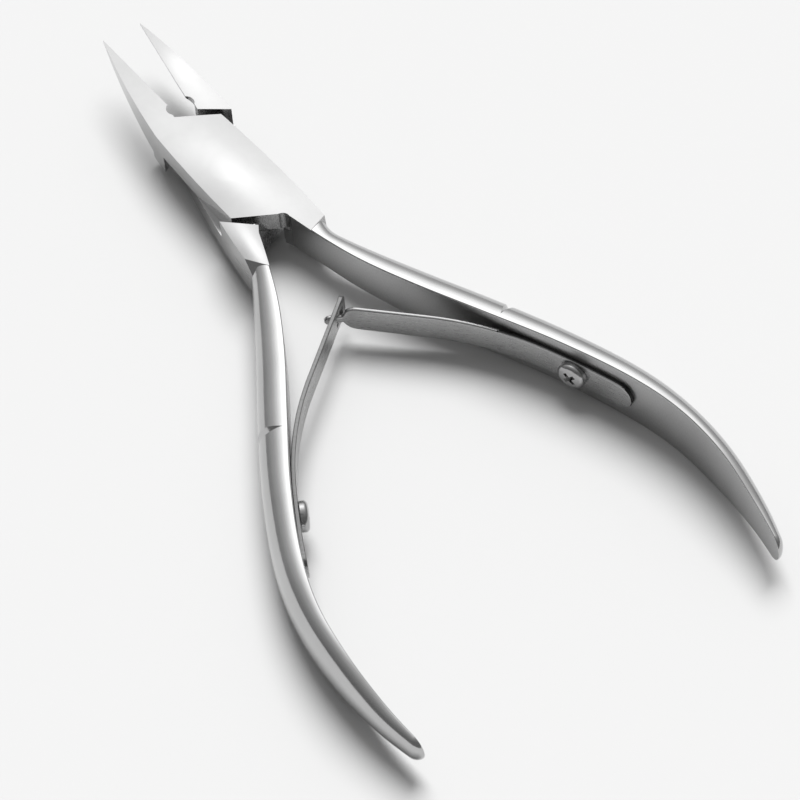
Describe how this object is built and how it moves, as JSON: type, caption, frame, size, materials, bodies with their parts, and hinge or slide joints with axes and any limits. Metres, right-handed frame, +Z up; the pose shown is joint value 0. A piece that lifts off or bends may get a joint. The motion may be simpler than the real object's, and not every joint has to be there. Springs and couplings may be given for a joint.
{
  "type": "cuticle nipper",
  "caption": "Lap-joint cuticle nipper with long pointed jaws, curved D-section handles and a pair of interlocking leaf springs that hold it open.",
  "frame": {"origin": "under the middle of the open nipper's outline, on the surface that it lies on", "axes": "+X along the nipper's middle line towards the jaw tips, +Y towards the lower half's handle, +Z up along the pivot rivet"},
  "size_m": [0.1204, 0.0588, 0.0087],
  "materials": {
    "forged_steel": "polished outside, satin on the flat inner faces of the handles",
    "spring_steel": "brushed along the leaf, with bright edges",
    "screw_steel": "bright nickel plate",
    "rivet_steel": "polished flush"
  },
  "bodies": {
    "upper_body": {"upper_half": "forged_steel", "pivot_rivet": "rivet_steel", "tongue_spring_foot": "spring_steel", "tongue_spring_screw": "screw_steel"},
    "lower_body": {"lower_half": "forged_steel", "slotted_spring_foot": "spring_steel", "slotted_spring_screw": "screw_steel"},
    "tongue_arm": {"tongue_spring_arm": "spring_steel"},
    "slotted_arm": {"slotted_spring_arm": "spring_steel"}
  },
  "joints": [
    {"name": "jaw_pivot", "type": "hinge", "parent": "upper_body", "child": "lower_body", "pos_m": [0.03016, 0, 0.00433], "axis": [0, 0, 1], "range_deg": [0, 11], "stiffness_Nm_per_rad": 1},
    {"name": "tongue_spring_bend", "type": "hinge", "parent": "upper_body", "child": "tongue_arm", "pos_m": [-0.01208, -0.01438, 0.00433], "axis": [0, 0, 1], "range_deg": [-9.6, 0]},
    {"name": "slotted_spring_bend", "type": "hinge", "parent": "lower_body", "child": "slotted_arm", "pos_m": [-0.01208, 0.01438, 0.00433], "axis": [0, 0, 1], "range_deg": [0, 9.6]}
  ],
  "couplings": [
    {"joint": "tongue_spring_bend", "follows": "jaw_pivot", "ratio": -0.8682},
    {"joint": "slotted_spring_bend", "follows": "jaw_pivot", "ratio": 0.8682}
  ]
}
